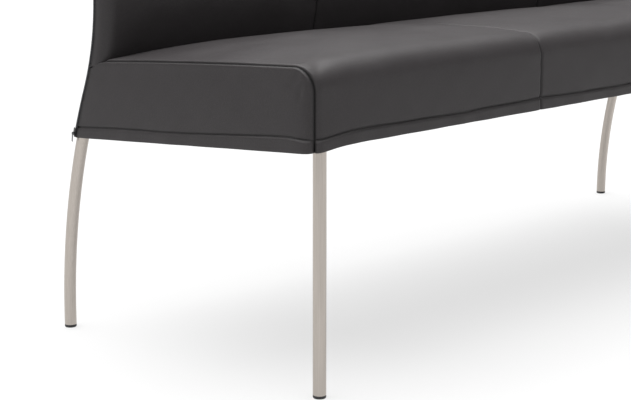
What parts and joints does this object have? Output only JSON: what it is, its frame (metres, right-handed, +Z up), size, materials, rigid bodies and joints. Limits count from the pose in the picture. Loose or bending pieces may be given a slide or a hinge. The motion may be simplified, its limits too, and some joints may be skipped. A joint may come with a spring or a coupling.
{
  "type": "dining bench",
  "caption": "Upholstered dining bench with a low back, a zipped leather cover and a frame of bent stainless tube that is rear leg and back post in one.",
  "frame": {"origin": "on the floor, under the middle of the bench's box", "axes": "+X along the bench to the sitter-facing viewer's right, front faces -Y, +Z up"},
  "size_m": [1.609, 0.594, 0.88],
  "materials": {
    "brushed_stainless": "brushed along the tube",
    "black_plastic": "fine satin",
    "anthracite_leather": "smooth, fine grain, semi-matt",
    "foam": "open cell",
    "fleece": "soft fleece",
    "elastic_webbing": "woven",
    "dust_cloth": "thin non-woven",
    "zip_tape": "woven tape",
    "zip_teeth": "satin coil",
    "zip_metal": "dark nickel",
    "zinc_steel": "zinc plated",
    "painted_steel": "black powder coat"
  },
  "bodies": {
    "bench": {"back_cover_left": "anthracite_leather", "back_cover_middle": "anthracite_leather", "back_cover_right": "anthracite_leather", "back_foam": "foam", "back_lumbar_rails": "painted_steel", "back_rear_panel": "anthracite_leather", "back_strut_left": "painted_steel", "back_strut_right": "painted_steel", "back_top_rail": "painted_steel", "back_wadding": "fleece", "back_webbing": "elastic_webbing", "dust_cover": "dust_cloth", "dust_cover_studs": "zinc_steel", "front_glide_left": "black_plastic", "front_glide_right": "black_plastic", "front_leg_left": "brushed_stainless", "front_leg_right": "brushed_stainless", "leg_plate_bolts": "zinc_steel", "leg_plate_left": "painted_steel", "leg_plate_right": "painted_steel", "lug_bolts": "zinc_steel", "lug_nuts": "zinc_steel", "rear_glide_left": "black_plastic", "rear_glide_right": "black_plastic", "rear_lug_left": "painted_steel", "rear_lug_right": "painted_steel", "rear_tube_left": "brushed_stainless", "rear_tube_right": "brushed_stainless", "seat_cover_left": "anthracite_leather", "seat_cover_middle": "anthracite_leather", "seat_cover_right": "anthracite_leather", "seat_cross_rail_left": "painted_steel", "seat_cross_rail_right": "painted_steel", "seat_end_rail_left": "painted_steel", "seat_end_rail_right": "painted_steel", "seat_foam": "foam", "seat_front_rail": "painted_steel", "seat_rear_rail": "painted_steel", "seat_side_left": "anthracite_leather", "seat_side_right": "anthracite_leather", "seat_webbing": "elastic_webbing", "tube_caps": "black_plastic", "webbing_clips": "zinc_steel", "zip_tapes_left": "zip_tape", "zip_tapes_right": "zip_tape", "zip_teeth_left": "zip_teeth", "zip_teeth_right": "zip_teeth"},
    "slider_left": {"zip_slider_left": "zip_metal"},
    "slider_right": {"zip_slider_right": "zip_metal"},
    "pull_left": {"zip_pull_left": "zip_metal"},
    "pull_right": {"zip_pull_right": "zip_metal"}
  },
  "joints": [
    {"name": "zip_travel_left", "type": "hinge", "parent": "bench", "child": "slider_left", "pos_m": [0, -0.743, 0.016], "axis": [1, 0, 0], "range_deg": [0, 3.8]},
    {"name": "pull_swing_left", "type": "hinge", "parent": "slider_left", "child": "pull_left", "pos_m": [-0.80285, 0.24183, 0.3392], "axis": [0.342, 0.892, 0.2956], "range_deg": [0, 150]},
    {"name": "zip_travel_right", "type": "hinge", "parent": "bench", "child": "slider_right", "pos_m": [0, -0.743, 0.016], "axis": [1, 0, 0], "range_deg": [0, 3.8]},
    {"name": "pull_swing_right", "type": "hinge", "parent": "slider_right", "child": "pull_right", "pos_m": [0.80285, 0.24183, 0.3392], "axis": [0.342, -0.892, -0.2956], "range_deg": [0, 150]}
  ]
}
